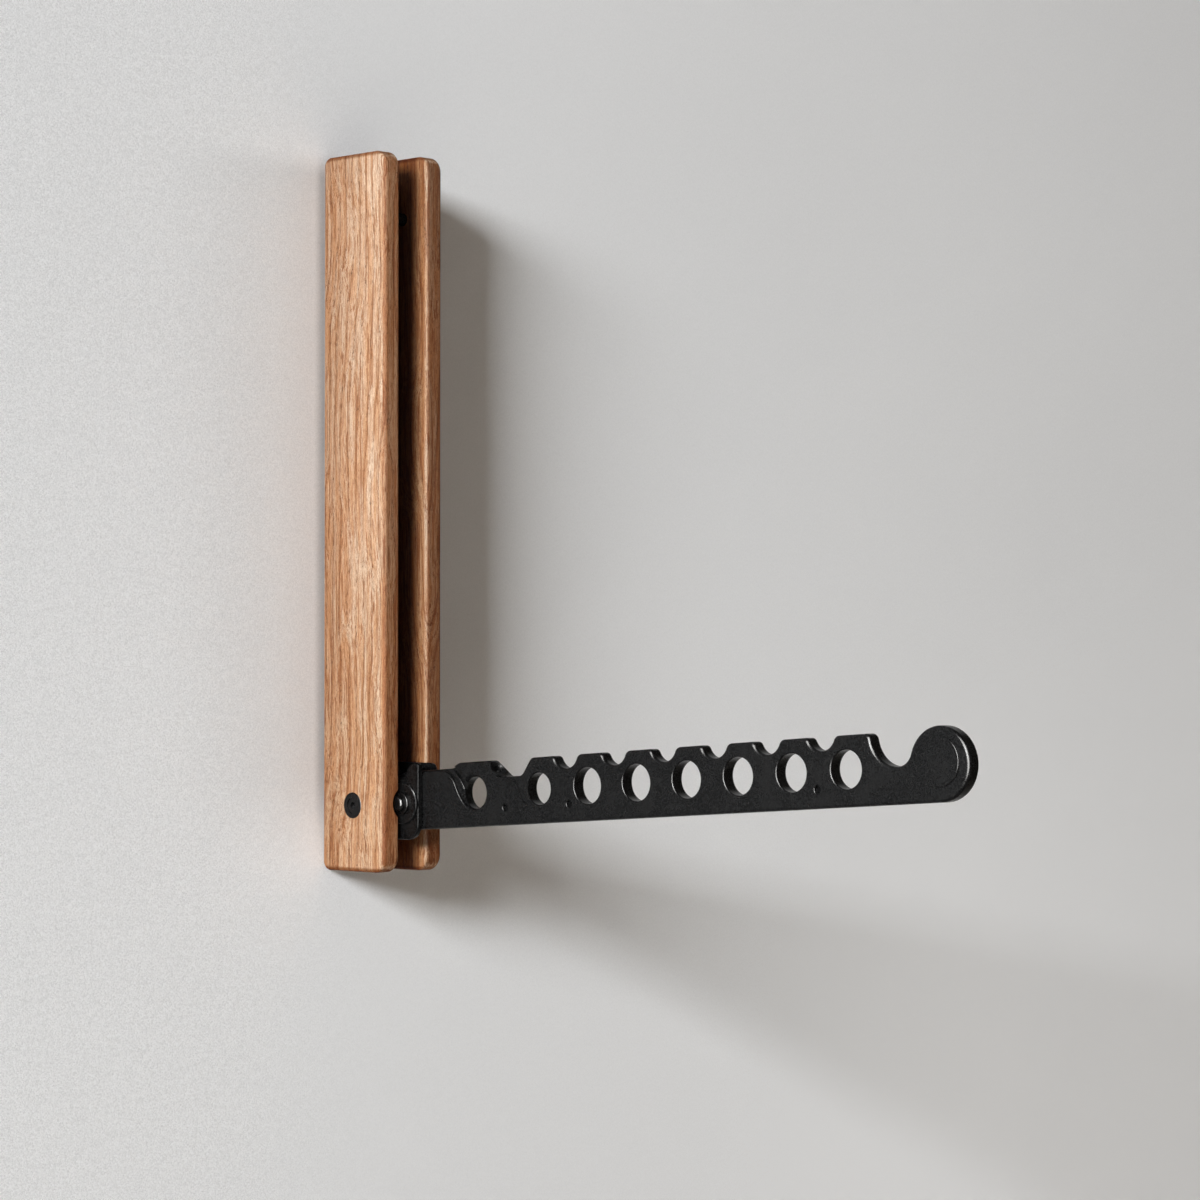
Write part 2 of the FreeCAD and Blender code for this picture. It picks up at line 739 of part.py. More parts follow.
def armHole(body, name, along, radius):
    """A round hole through the arm, at its place along the arm."""
    ring = Part.Circle(Vector(-size(along), size("holeLift"), 0), Vector(0, 0, 1), size(radius))
    return addPocket(body, addSketch(body, name, "YZ_Plane", [ring]))


def roundHoleRims(body, base, x, radius, first):
    """Round the rims of the hanger holes on the face at x: the first one's or all others'."""
    radii = (size("smallHoleRadius"), size("holeRadius"))

    def isRim(edge):
        curve = edge.Curve
        return (liesOnX(edge, x) and isinstance(curve, Part.Circle)
                and any(abs(curve.Radius - r) < 1e-4 for r in radii)
                and (abs(curve.Center.y + size("firstHole")) < 1e-4) == first)

    return addFillet(body, base, radius, edgeNames(base, isRim))


def makeArm():
    """The cast arm, level in its own frame and tilted about the pivot by its placement."""
    body = newBody("valet_arm")
    bar = addPad(body, addSketch(body, "ArmOutline", "YZ_Plane", armOutline()),
                 "armThickness", midplane=True)
    face = size("armThickness") / 2
    rims = edgeNames(bar, lambda e: liesOnX(e, face) or liesOnX(e, -face))
    addFillet(body, bar, "armEdgeRound", rims)

    armHole(body, "FirstHole", "firstHole", "smallHoleRadius")
    armHole(body, "SecondHole", "secondHole", "smallHoleRadius")
    hole = armHole(body, "HangerHole", "thirdHole", "holeRadius")
    row = body.newObject("PartDesign::LinearPattern", "HangerHoles")
    row.Originals = [hole]
    row.Direction = (planeOf(body, "Y_Axis"), [""])
    row.Reversed = True
    row.Occurrences = round(size("pitchedHoles"))
    bind(row, Length=sheetFormula("toothPitch * ( pitchedHoles - 1 )"))
    body.Tip = row
    doc.recompute()
    rims = roundHoleRims(body, row, -face, "firstHoleRound", True)
    rims = roundHoleRims(body, rims, -face, "holeNearRound", False)
    rims = roundHoleRims(body, rims, face, "holeFarRound", True)
    roundHoleRims(body, rims, face, "holeFarRound", False)

    # round pad on both faces of the tip
    tip = Vector(-size("discCentre"), size("discRadius") - size("armDrop") + size("padLift"), 0)
    pads = addPad(body, addSketch(body, "TipPads", "YZ_Plane", [
        Part.Circle(tip, Vector(0, 0, 1), size("padRadius"))]),
        "armThickness + 2 * padRise", midplane=True)
    outer = face + size("padRise")
    rims = edgeNames(pads, lambda e: liesOnX(e, outer) or liesOnX(e, -outer))
    addFillet(body, pads, "padEdgeRound", rims)

    cutSteps(body)

    # shallow scoop from the wide notch to the second hole, its floor rises to the face
    scoop = addSketch(body, "Scoop", "YZ_Plane", scoopEdges())
    slope = size("scoopDepth") / (size("scoopEnd") - size("scoopStart"))
    start = size("scoopDepth") - face + slope * size("scoopStart")
    scoop.AttachmentOffset = Placement(Vector(0, 0, start),
                                       Rotation(Vector(0, 1, 0), -math.degrees(math.atan(slope))))
    doc.recompute()
    addPocket(body, scoop, "2 * scoopDepth")

    spots = [Part.Circle(Vector(-size(name), -size("dimpleDrop"), 0), Vector(0, 0, 1),
                         size("dimpleRadius"))
             for name in ("dimpleFirst", "dimpleSecond", "dimpleThird")]
    dimples = addPocket(body, addSketch(body, "Dimples", "YZ_Plane", spots,
                                        "dimpleDepth - armThickness / 2"), "dimpleDepth")
    rims = edgeNames(dimples, lambda e: liesOnX(e, -face) and isinstance(e.Curve, Part.Circle)
                     and abs(e.Curve.Radius - size("dimpleRadius")) < 1e-4)
    addFillet(body, dimples, "dimpleRimRound", rims)

    drill(body, "ArmBore", "pinRadius + fitClearance", "0 - armThickness / 2", "armThickness",
          "0", "0")

    # the ball-shaped hollow in the first notch and the set screw's seat in its floor
    hollow = body.newObject("PartDesign::SubtractiveSphere", "GrubHollow")
    bind(hollow, Radius=sheetFormula("hollowRadius"))
    place(hollow, "0 - hollowOffset", "0 - hollowReach", "hollowHeight")
    doc.recompute()
    depth = size("grubSetback") + size("grubLength") + size("grubSeatExtra")
    seat = body.newObject("PartDesign::SubtractiveCylinder", "GrubSeat")
    seat.Placement = grubPlacement(-depth)
    bind(seat, Radius=sheetFormula("grubRadius + fitClearance"),
         Height=sheetFormula("grubSetback + grubLength + grubSeatExtra + grubRadius"))
    doc.recompute()
    setOnPivot(body)
    return body


def stepLine():
    """The edge of the root plate, from above the arm down to the rim of the first hole."""
    return [(18.0, 15.6), (22.6, 14.6), (27.0, 12.6), (30.6, 9.0), (32.8, 4.4), (35.4, 0.2),
            (38.6, -3.4)]


def wellLine():
    """The edge of the second step, further down, to the rim of the first hole."""
    return [(25.6, 15.8), (29.4, 13.6), (32.0, 11.3), (34.4, 8.4), (36.2, 5.0)]


def toothLine():
    """The edge of the first tooth's face, from the first hole's rim up to the arm's top."""
    return [(38.6, 7.6), (37.8, 10.6), (36.0, 13.2), (32.4, 15.0), (28.0, 16.0)]


def cutSteps(body):
    """Two steps down beside the first hole; rounded shoulders run along their edges."""
    tooth = toothLine()
    above = size("toothTop") + size("notchLift")
    inside = (size("firstHole") - size("smallHoleRadius") / 2, size("holeLift"))
    for name, line, depth in (("Step", stepLine(), "stepDepth"), ("Well", wellLine(), "wellDepth")):
        inner = [line[-1], inside, tooth[0]]
        over = [tooth[-1], (tooth[-1][0], above), (line[0][0], above), line[0]]
        edges = [curveThrough([(-x, y) for x, y in line])]
        edges += roundedLine([(-x, y) for x, y in inner])
        edges.append(curveThrough([(-x, y) for x, y in tooth]))
        edges += roundedLine([(-x, y) for x, y in over])
        addPocket(body, addSketch(body, name, "YZ_Plane", edges, f"{depth} - armThickness / 2"),
                  depth)
    addFlare(body, "StepShoulder", stepLine(), "0 - armThickness / 2", "stepRound", 0.0)
    addFlare(body, "WellShoulder", wellLine(), "stepDepth - armThickness / 2", "wellRound",
             size("stepDepth"))


def addFlare(body, name, line, start, radius, deep):
    """Round the shoulder of a step along its edge line, which lies in the plane at start."""
    curve = curveThrough([(-x, y) for x, y in line])
    path = addSketch(body, name + "Path", "YZ_Plane", [curve], start)
    shoulder, margin = size(radius), size("flareMargin")
    crown = shoulder * (1 - math.sqrt(0.5))
    corners = [Vector(0, shoulder, 0), Vector(-margin, shoulder, 0), Vector(-margin, -margin, 0),
               Vector(shoulder, -margin, 0), Vector(shoulder, 0, 0)]
    edges = [Part.LineSegment(a, b) for a, b in zip(corners, corners[1:])]
    edges.append(Part.Arc(corners[-1], Vector(crown, crown, 0), corners[0]))
    profile = addSketch(body, name, "YZ_Plane", edges)
    along = curve.tangent(curve.FirstParameter)[0]
    across = Vector(along.y, -along.x, 0)
    origin = curve.value(curve.FirstParameter)
    # sketch x runs out over the plate, sketch y runs into the arm
    turn = Rotation(across * -1, Vector(0, 0, 1), along, "ZXY")
    profile.AttachmentOffset = Placement(
        Vector(origin.x, origin.y, deep - size("armThickness") / 2), turn)
    doc.recompute()
    flare = body.newObject("PartDesign::SubtractivePipe", name + "Cut")
    flare.Profile = profile
    flare.Spine = (path, ["Edge1"])
    flare.Mode = "Binormal"
    flare.Binormal = Vector(1, 0, 0)
    doc.recompute()
    return flare


def scoopEdges():
    """The scoop's outline: a curve from the notch floor to the second hole, closed in the open."""
    line = [(59.0, 9.5), (62.6, 8.6), (66.2, 8.1), (69.6, 6.9), (71.7, 4.0), (73.6, -0.5),
            (77.6, -4.0)]
    hole, above = size("secondHole"), size("toothTop") - size("notchLift")
    rest = [line[-1], (hole, 0.0), (hole, size("holeRadius")), (size("saddleEnd"), above),
            (size("saddleFloorStart"), above), line[0]]
    return [curveThrough([(-x, y) for x, y in line]),
            *roundedLine([(-x, y) for x, y in rest])]


def grubPlacement(along):
    """A frame on the floor of the ball-shaped hollow, its Z out to the ball's centre."""
    turn, dip = math.radians(size("hollowTurn")), math.radians(size("hollowDip"))
    outward = Vector(-math.sin(turn), -math.cos(turn) * math.cos(dip),
                     math.cos(turn) * math.sin(dip))
    centre = Vector(-size("hollowOffset"), -size("hollowReach"), size("hollowHeight"))
    floor = centre - outward * size("hollowRadius")
    side = outward.cross(Vector(0, 0, 1)).normalize()
    frame = Rotation(side, outward.cross(side), outward, "ZXY")
    return Placement(floor + outward * along, frame)


def makeGrubScrew():
    """The small set screw in the flank of the wide notch."""
    body = newBody("grub_screw")
    ring = [Part.Circle(Vector(0, 0, 0), Vector(0, 0, 1), size("grubRadius"))]
    start = "0 - grubSetback"
    shank = addSketch(body, "GrubShank", "XY_Plane", ring, start)
    addPad(body, shank, "grubLength", reverse=True)
    socket = addSketch(body, "GrubSocket", "XY_Plane", hexagon(size("grubSocketWidth")), start)
    addPocket(body, socket, "grubSocketDepth")
    tilt = Placement(Vector(), Rotation(Vector(1, 0, 0), -size("armTilt")))
    pivot = Placement(Vector(0, -size("pivotForward"), size("pivotHeight") - size("wallHoleHeight")),
                      Rotation())
    body.Placement = pivot * tilt * grubPlacement(0.0)
    return body


def setOnPivot(body):
    """Put a body of the arm on the pivot, tilted up as far as the stop lets it down."""
    body.Placement = Placement(Vector(), Rotation(Vector(1, 0, 0), -size("armTilt")))
    bind(body, Placement__Rotation__Angle=sheetFormula("0 - armTilt"))
    place(body, "0", "0 - pivotForward", "pivotHeight - wallHoleHeight")


# ---------------------------------------------------------------- all pieces

pieces = [
    makeCheek("left_cheek", -1),
    makeCheek("right_cheek", 1),
    makeSpine(),
    makeDowels(),
    makeRod("tie_rod", "tieRodRadius", "tieRodBite", "0 - tieRodForward", tieRodHeight),
    makeClevis(),
    makeRod("locating_pin", "locatingPinRadius", "locatingPinBite", "0 - locatingPinForward",
            "locatingPinHeight"),
    makeCrossBolt(),
    makeSleeveNut(),
    makePivotPin(),
    makePivotScrew(),
    makeSpringWasher(),
    makeFrictionWashers(),
    makeArm(),
    makeGrubScrew(),
]
doc.recompute()

for thing in doc.Objects:
    if "Invalid" in thing.State or "Error" in thing.State:
        raise RuntimeError(f"{thing.Name} failed: {thing.State}")
for piece in pieces:
    if piece.Shape.isNull() or not piece.Shape.isValid():
        raise RuntimeError(f"{piece.Label} has no valid shape")

os.makedirs("parts", exist_ok=True)
for piece in pieces:
    piece.Shape.exportStep(f"parts/{piece.Label}.step")
    box = piece.Shape.BoundBox
    print(f"{piece.Label:18s} solids {len(piece.Shape.Solids)} volume {piece.Shape.Volume:10.1f}"
          f"  X {box.XMin:8.2f} {box.XMax:8.2f}  Y {box.YMin:8.2f} {box.YMax:8.2f}"
          f"  Z {box.ZMin:8.2f} {box.ZMax:8.2f}")
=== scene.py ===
import math
import bpy
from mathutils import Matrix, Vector


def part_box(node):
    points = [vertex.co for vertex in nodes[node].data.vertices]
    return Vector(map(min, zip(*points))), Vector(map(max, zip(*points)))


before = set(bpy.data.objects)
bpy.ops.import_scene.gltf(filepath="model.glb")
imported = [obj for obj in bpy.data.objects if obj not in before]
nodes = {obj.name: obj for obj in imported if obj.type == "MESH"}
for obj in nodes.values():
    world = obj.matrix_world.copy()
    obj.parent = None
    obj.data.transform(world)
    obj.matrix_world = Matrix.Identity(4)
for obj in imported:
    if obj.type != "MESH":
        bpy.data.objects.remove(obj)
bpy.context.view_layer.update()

perMetre = 1000                         # millimetres
noiseMiddle = 0.5
middleSpan = (0.3, 0.7)                 # where most values of a noise lie

cameraSetup = {
    "place": (-1.053549, -1.175392, -0.096406),
    "azimuth": -46.085,                 # degrees round from straight in front
    "elevation": -1.146,
    "lens": 101.12,
    "sensor": 36.0,
    "clip": (0.05, 60),
}


def makeCamera(setup):
    data = bpy.data.cameras.new("valetCamera")
    data.lens = setup["lens"]
    data.sensor_width = setup["sensor"]
    data.clip_start, data.clip_end = setup["clip"]
    camera = bpy.data.objects.new("valetCamera", data)
    bpy.context.scene.collection.objects.link(camera)
    turn, rise = math.radians(setup["azimuth"]), math.radians(setup["elevation"])
    back = Vector((math.sin(turn) * math.cos(rise), -math.cos(turn) * math.cos(rise), math.sin(rise)))
    camera.location = setup["place"]
    camera.rotation_mode = "QUATERNION"
    camera.rotation_quaternion = (-back).to_track_quat("-Z", "Y")
    bpy.context.scene.camera = camera


makeCamera(cameraSetup)
bpy.context.scene.view_settings.view_transform = "Standard"
print("camera is placed")


# short ways to add the nodes of a material

def startMaterial(name):
    material = bpy.data.materials.new(name)
    material.use_nodes = True
    tree = material.node_tree
    return material, tree, tree.nodes["Principled BSDF"]


def feed(tree, socket, value):
    if isinstance(value, bpy.types.NodeSocket):
        tree.links.new(value, socket)
    else:
        socket.default_value = value


def addNode(tree, kind, inputs=None, **settings):
    made = tree.nodes.new(kind)
    for key, value in settings.items():
        setattr(made, key, value)
    for key, value in (inputs or {}).items():
        feed(tree, made.inputs[key], value)
    return made


def maths(tree, operation, first, second=0.0):
    return addNode(tree, "ShaderNodeMath", {0: first, 1: second}, operation=operation).outputs[0]


def plus(tree, first, *others):
    for value in others:
        first = maths(tree, "ADD", first, value)
    return first


def minus(tree, first, *others):
    for value in others:
        first = maths(tree, "SUBTRACT", first, value)
    return first


def times(tree, first, *others):
    for value in others:
        first = maths(tree, "MULTIPLY", first, value)
    return first


def unsigned(tree, value):
    return maths(tree, "ABSOLUTE", value)


def ramp(tree, value, low, high, outLow=0.0, outHigh=1.0):
    # a smooth step from outLow to outHigh
    return addNode(tree, "ShaderNodeMapRange", {
        "Value": value, "From Min": low, "From Max": high, "To Min": outLow, "To Max": outHigh,
    }, interpolation_type="SMOOTHSTEP").outputs["Result"]


def mixColour(tree, factor, first, second, mode="MIX"):
    made = addNode(tree, "ShaderNodeMix", data_type="RGBA", blend_type=mode)
    for index, value in ((0, factor), (6, first), (7, second)):
        feed(tree, made.inputs[index], value)
    return made.outputs[2]


def brighten(tree, colour, level):
    return addNode(tree, "ShaderNodeVectorMath", {0: colour, "Scale": level},
                   operation="SCALE").outputs["Vector"]


def objectPlace(tree):
    return addNode(tree, "ShaderNodeTexCoord").outputs["Object"]


def apart(tree, vector):
    outputs = addNode(tree, "ShaderNodeSeparateXYZ", {"Vector": vector}).outputs
    return outputs["X"], outputs["Y"], outputs["Z"]


def together(tree, **parts):
    return addNode(tree, "ShaderNodeCombineXYZ", parts).outputs["Vector"]


def mapped(tree, vector, scale, offset=(0, 0, 0)):
    return addNode(tree, "ShaderNodeMapping", {
        "Vector": vector, "Location": offset, "Scale": scale,
    }).outputs["Vector"]


def noise(tree, vector, detail=2.0, roughness=0.5):
    return addNode(tree, "ShaderNodeTexNoise", {
        "Vector": vector, "Scale": 1.0, "Detail": detail, "Roughness": roughness,
    }).outputs["Fac"]


def evenNoise(tree, width, detail=2.0, roughness=0.5):
    # noise whose patches are so many millimetres across
    return noise(tree, mapped(tree, objectPlace(tree), (perMetre / width,) * 3), detail, roughness)


def bump(tree, height, distance, strength=1.0):
    return addNode(tree, "ShaderNodeBump", {
        "Height": height, "Distance": distance, "Strength": strength,
    }).outputs["Normal"]


# oak, one look for all boards and one entry for each board

oakLook = {
    "pale": (0.566, 0.425, 0.303, 1),
    "tan": (0.484, 0.280, 0.156, 1),
    "brown": (0.250, 0.098, 0.040, 1),
    "pore": (0.110, 0.044, 0.018, 1),
    "wallSide": (0.86, 0.77, 0.70, 1),  # the wood is darker and redder at the wall
    "foot": (0.94, 0.88, 0.81, 1),      # and a little warmer low down
    "end": (0.50, 0.34, 0.24, 1),       # end grain at the head and foot
    "inner": (0.74, 0.57, 0.42, 1),     # painted shade on the faces that look into the slot
    "inside": (0.36, 0.24, 0.15, 1),    # painted shade in the depth of the slot
    "broadLevel": (0.93, 1.03),         # of the broad patches along the board
    "dustLevel": (0.84, 1.09),
    "frontLevel": (0.98, 1.10),         # from the wall to the front
    "ringWidth": 4.6,                   # millimetres from one growth line to the next
    "ringTurn": 0.55,                   # how much the lines also count from side to side
    "ringStart": (0.0, 0.10),           # where a dark line begins and ends within its ring
    "ringEnd": (0.46, 0.12),
    "ringPores": 0.70,                  # share of the pores that keep to the growth lines
    "roughness": (0.44, 0.60),
    "specular": 0.03,
    "fibreHeight": 0.55,
    "poreDepth": 0.80,
    "ringDepth": 0.55,
    "lineDepth": 0.40,
    "relief": 0.00028,                  # metres
    "reliefStrength": 0.85,
}

# the trunk's slow bends push every grain line sideways together, by so many metres
bends = (
    {"scale": (24, 24, 7.5), "detail": 2, "roughness": 0.45, "push": 0.030},
    {"scale": (120, 120, 38), "detail": 2, "roughness": 0.50, "push": 0.0018},
)

# noises drawn out along the board, so many millimetres wide and long
grains = {
    "broad": {"size": (13, 170), "shift": 0, "detail": 2, "roughness": 0.50},
    "streak": {"size": (2.8, 60), "shift": 3, "detail": 5, "roughness": 0.66},
    "line": {"size": (0.74, 100), "shift": 9, "detail": 3, "roughness": 0.55},
    "fibre": {"size": (0.34, 6.0), "shift": 5, "detail": 3, "roughness": 0.80},
    "pore": {"size": (0.36, 2.4), "shift": 7, "detail": 1, "roughness": 0.50},
    "smudge": {"size": (5.5, 30), "shift": 11, "detail": 3, "roughness": 0.50},
    "dust": {"size": (0.34, 0.7), "shift": 13, "detail": 2, "roughness": 0.70},
}

# the span of each noise over which its mark comes in
spans = {
    "broad": (0.30, 0.70),
    "streak": (0.36, 0.62),
    "ring": (0.34, 0.62, 0.15, 1.0),    # growth lines are weaker where the streaks are pale
    "line": (0.545, 0.625),
    "lineGroove": (0.54, 0.74),
    "smudge": (0.58, 0.78),
    "fibre": (0.49, 0.60),
    "pore": (0.60, 0.68),
    "dust": (0.25, 0.75),
}

# what darkens the wood, one over the other: its colour and its strength
layers = {
    "ring": ("brown", 0.72),
    "line": ("brown", 0.82),
    "smudge": ("brown", 0.55),
    "fibre": ("brown", 0.70),
    "pore": ("pore", 0.80),
}

# where a cheek's faces run over into each other, in metres
cheekFaces = {
    "wallY": (-0.030, -0.004),
    "levelY": (0.0, -0.040),
    "footZ": (0.0, -0.15),
    "frontY": (-0.0402, -0.0413),
    "frontX": (0.0086, 0.0095),
    "endInset": (0.0026, 0.0012),
    "innerX": (0.0096, 0.0087),
    "innerY": (-0.0414, -0.0396),
    "deepY": (-0.0400, -0.0310),
}

# shift is a board's own place in the grain, edge shades its narrow front, lean tilts its growth lines
boards = {
    "left_cheek": {
        "shift": (3.1, 1.7, 0.4), "edge": (0.71, 0.52, 0.395, 1), "tone": 1.00, "lean": 0.036,
    },
    "right_cheek": {
        "shift": (7.9, 4.2, 2.6), "edge": (0.53, 0.375, 0.285, 1), "tone": 0.97, "lean": -0.0504,
    },
    "back_spine": {
        "shift": (12.3, 8.8, 5.1), "edge": (0.80, 0.72, 0.66, 1), "tone": 0.80, "lean": 0.018,
    },
}


def makeOak(name, look, board):
    oak, tree, shader = startMaterial(name)
    shift, faces = board["shift"], cheekFaces
    here = objectPlace(tree)
    x, y, z = apart(tree, here)

    pushes = []
    for bend in bends:
        wander = noise(tree, mapped(tree, here, bend["scale"], shift), bend["detail"], bend["roughness"])
        pushes.append(times(tree, minus(tree, wander, noiseMiddle), bend["push"]))
    push = plus(tree, *pushes)
    moved = together(tree, X=plus(tree, x, push), Y=plus(tree, y, push), Z=z)

    def grain(key):
        entry = grains[key]
        wide, long = entry["size"]
        place = mapped(tree, moved, (perMetre / wide, perMetre / wide, perMetre / long),
                       tuple(value + entry["shift"] for value in shift))
        return noise(tree, place, entry["detail"], entry["roughness"])

    # growth lines, counted across the board and leaning with its height
    across = plus(tree, y, times(tree, x, look["ringTurn"]), push, times(tree, z, board["lean"]))
    rings = maths(tree, "FRACT", times(tree, across, perMetre / look["ringWidth"]))
    early = times(tree, ramp(tree, rings, *look["ringStart"]), ramp(tree, rings, *look["ringEnd"]))

    streak, line, fibre = grain("streak"), grain("line"), grain("fibre")
    porePlaces = plus(tree, times(tree, early, look["ringPores"]), 1 - look["ringPores"])
    masks = {
        "ring": times(tree, early, ramp(tree, streak, *spans["ring"])),
        "line": ramp(tree, line, *spans["line"]),
        "smudge": ramp(tree, grain("smudge"), *spans["smudge"]),
        "fibre": ramp(tree, fibre, *spans["fibre"]),
        "pore": times(tree, ramp(tree, grain("pore"), *spans["pore"]), porePlaces),
    }
    colour = mixColour(tree, ramp(tree, streak, *spans["streak"]), look["pale"], look["tan"])
    for key, (shade, strength) in layers.items():
        colour = mixColour(tree, times(tree, masks[key], strength), colour, look[shade])
    broadLow, broadHigh = (value * board["tone"] for value in look["broadLevel"])
    level = times(tree,
                  ramp(tree, grain("broad"), *spans["broad"], broadLow, broadHigh),
                  ramp(tree, grain("dust"), *spans["dust"], *look["dustLevel"]),
                  ramp(tree, y, *faces["levelY"], *look["frontLevel"]))

    # the narrow front is a darker cut of the wood, and the slot's faces get painted shade, darkest deep
    # inside
    sideways = unsigned(tree, x)
    fromMiddle = unsigned(tree, minus(tree, z, board["middle"]))
    endStart, endFull = (board["half"] - inset for inset in faces["endInset"])
    inner = times(tree, ramp(tree, sideways, *faces["innerX"]), ramp(tree, y, *faces["innerY"]))
    front = times(tree, ramp(tree, y, *faces["frontY"]), ramp(tree, sideways, *faces["frontX"]))
    tints = (
        (ramp(tree, y, *faces["wallY"]), look["wallSide"]),
        (ramp(tree, z, *faces["footZ"]), look["foot"]),
        (front, board["edge"]),
        (ramp(tree, fromMiddle, endStart, endFull), look["end"]),
        (inner, look["inner"]),
        (times(tree, inner, ramp(tree, y, *faces["deepY"])), look["inside"]),
    )
    for mask, shade in tints:
        colour = mixColour(tree, mask, colour, mixColour(tree, 1.0, colour, shade, "MULTIPLY"))
    feed(tree, shader.inputs["Base Color"], brighten(tree, colour, level))

    feed(tree, shader.inputs["Roughness"], ramp(tree, fibre, *middleSpan, *look["roughness"]))
    shader.inputs["Specular IOR Level"].default_value = look["specular"]
    height = minus(tree,
                   times(tree, fibre, look["fibreHeight"]),
                   times(tree, masks["pore"], look["poreDepth"]),
                   times(tree, masks["ring"], look["ringDepth"]),
                   times(tree, ramp(tree, line, *spans["lineGroove"]), look["lineDepth"]))
    feed(tree, shader.inputs["Normal"], bump(tree, height, look["relief"], look["reliefStrength"]))
    return oak


def measured(board, node):
    # the board's own middle height and half height, read from its node
    low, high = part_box(node)
    return dict(board, middle=(low.z + high.z) / 2, half=(high.z - low.z) / 2)


def dress(node, material):
    mesh = nodes[node].data
    for index in range(len(mesh.materials)):
        mesh.materials[index] = material


for node, board in boards.items():
    dress(node, makeOak("oak_" + node, oakLook, measured(board, node)))
print("boards are finished in oak")


# beech pegs, the same wood with closer lines and no stain

plain = (1, 1, 1, 1)
pegLook = dict(oakLook, pale=(0.62, 0.44, 0.29, 1), tan=(0.52, 0.34, 0.21, 1), brown=(0.40, 0.24, 0.13, 1),
               pore=(0.32, 0.19, 0.10, 1), wallSide=plain, foot=plain, end=plain, inner=plain, inside=plain,
               ringWidth=1.4)
pegBoard = {"shift": (1.0, 6.0, 9.0), "edge": plain, "tone": 1.0, "lean": 0.0}
dress("spine_dowels", makeOak("beech_pegs", pegLook, measured(pegBoard, "spine_dowels")))
print("pegs are finished in beech")


# black powder coat, blackened steel and bare steel

blackCoat = {
    "colour": (0.0034, 0.0034, 0.0035),
    "roughness": 0.25,
    "metallic": 0.0,
    "specular": 0.165,
    "speckle": 0.44,                    # millimetres across
    "shade": (0.05, 2.60),              # of the speckle, from its darkest to its palest
    "grit": 0.004,                      # millimetres high
    "wave": 0.003,
    "paintedShade": 0.40,                       # painted shade: gloss left on a face that looks straight up or down
    "under": 0.25,                      # painted shade: times this where it looks down
    "root": 0.72,                       # painted shade: and times this near the wall
}

metals = {
    "arm_coat": dict(blackCoat, pieces=("valet_arm",)),
    "fork_coat": dict(
        blackCoat, pieces=("hinge_clevis",), specular=0.32, root=1.0,
        front=0.08, side=0.42,          # painted shade: gloss left on the ears' front edges and flat sides
    ),
    "black_steel": {
        "pieces": ("cross_bolt", "sleeve_nut", "pivot_pin", "pivot_screw", "tie_rod", "grub_screw"),
        "colour": (0.0022, 0.0022, 0.0023), "roughness": 0.22, "metallic": 0.0, "specular": 0.21,
        "speckle": 0.55, "shade": (0.70, 1.35), "grit": 0.004, "wave": 0.003,
        "paintedShade": 0.70, "under": 1.0, "root": 1.0,
    },
    "bare_steel": {
        "pieces": ("locating_pin", "spring_washer"),
        "colour": (0.46, 0.45, 0.43), "roughness": 0.32, "metallic": 1.0, "specular": 0.5,
        "speckle": 0.50, "shade": (0.88, 1.12), "grit": 0.004, "wave": 0.002,
        "paintedShade": 1.0, "under": 1.0, "root": 1.0,
    },
}

# the surface that all metals share
metalGrain = {
    "fine": (2, 0.65),                  # detail and roughness of the speckle's noise
    "coarse": (2, 0.70),
    "coarseWidth": 2.4,                 # in widths of the fine speckle
    "fineShare": 0.60,
    "coarseShare": 0.40,
    "span": (0.42, 0.60),
    "cloud": (11, 3),                   # millimetres across and detail
    "wave": (2.6, 1),
    "cloudRough": (-0.03, 0.05),        # what the clouds and the grit add to the roughness
    "gritRough": (-0.02, 0.04),
}

# where painted shade takes the gloss away
glossShadeFades = {
    "upright": (0.35, 0.80),            # how far a face turns up or down
    "under": (-0.12, -0.50),            # how far it turns down
    "root": (-0.055, -0.300),           # metres out from the wall
    "front": (0.0024, 0.0012),          # metres behind the ears' front edge
    "side": (0.85, 0.99),               # how far a face turns sideways
}

# three pressed dimples on the arm's left face
dimples = {
    "out": (0.0633, 0.1031, 0.2449),    # along the arm from its pivot
    "drop": 0.0045,
    "tilt": 3.95,                       # degrees the arm stands above level
    "radius": 0.0016,
    "rim": (0.0003, -0.0001),
    "leftX": (-0.0010, -0.0015),
    # painted shade in the dimples takes away this share of the gloss
    "dimpleShade": 0.88,
}


def dimplePlaces(look):
    low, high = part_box("pivot_pin")
    pivot = Vector((0, (low.y + high.y) / 2, (low.z + high.z) / 2))
    tilt = math.radians(look["tilt"])
    along = Vector((0, -math.cos(tilt), math.sin(tilt)))
    up = Vector((0, math.sin(tilt), math.cos(tilt)))
    return [pivot + along * out - up * look["drop"] for out in look["out"]]


